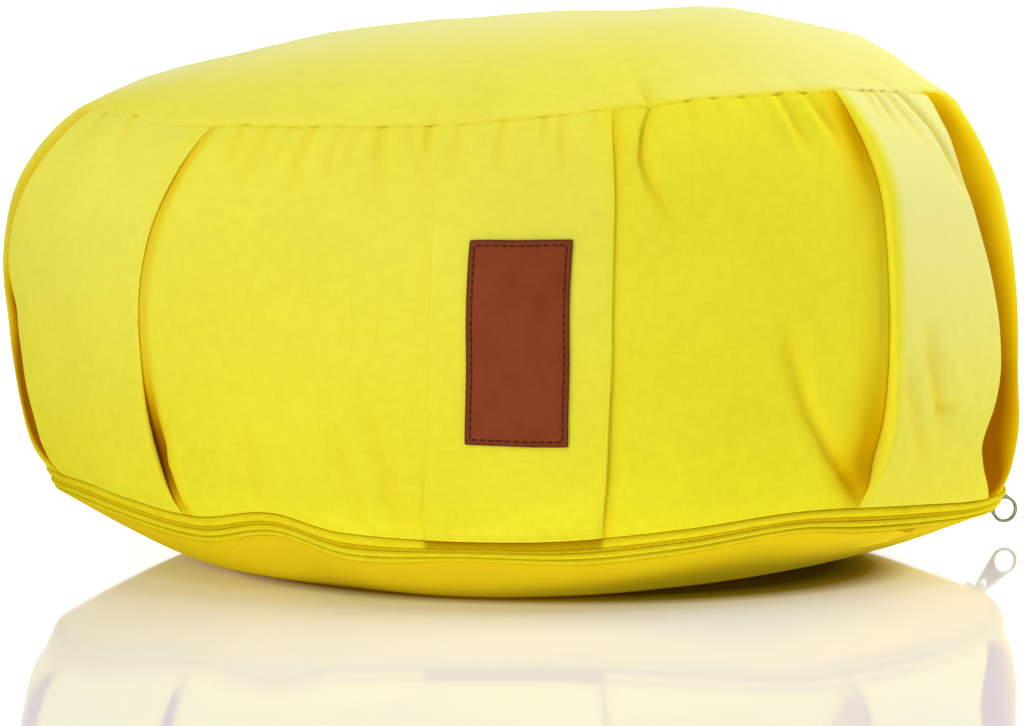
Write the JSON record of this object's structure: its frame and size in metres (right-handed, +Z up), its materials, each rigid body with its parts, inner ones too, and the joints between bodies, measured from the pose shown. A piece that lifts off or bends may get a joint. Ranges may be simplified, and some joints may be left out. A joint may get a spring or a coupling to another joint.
{
  "type": "zafu meditation cushion",
  "caption": "Round filled floor cushion with a crowned top, a box-pleated side band, a zip round the lower seam and a leather label.",
  "frame": {"origin": "on the floor, on the flat spot that the cushion rests on, under the middle of the side band", "axes": "+Z up; the label faces -Y; +X is to the right as seen from the label's side, where the zip's pull hangs"},
  "size_m": [0.3661, 0.3651, 0.1942],
  "materials": {
    "cotton": "bright yellow plain-weave cotton, matt",
    "leather": "smooth brown leather with a darker cut edge",
    "zip_tape": "yellow woven zip tape",
    "zip_coil": "yellow nylon coil",
    "nickel": "worn nickel plate"
  },
  "bodies": {
    "root": {"cushion_body": "cotton", "label": "leather", "zip_tape_upper": "zip_tape", "zip_tape_lower": "zip_tape", "zip_coil": "zip_coil", "zip_slider": "nickel", "zip_pull": "nickel"}
  },
  "joints": []
}
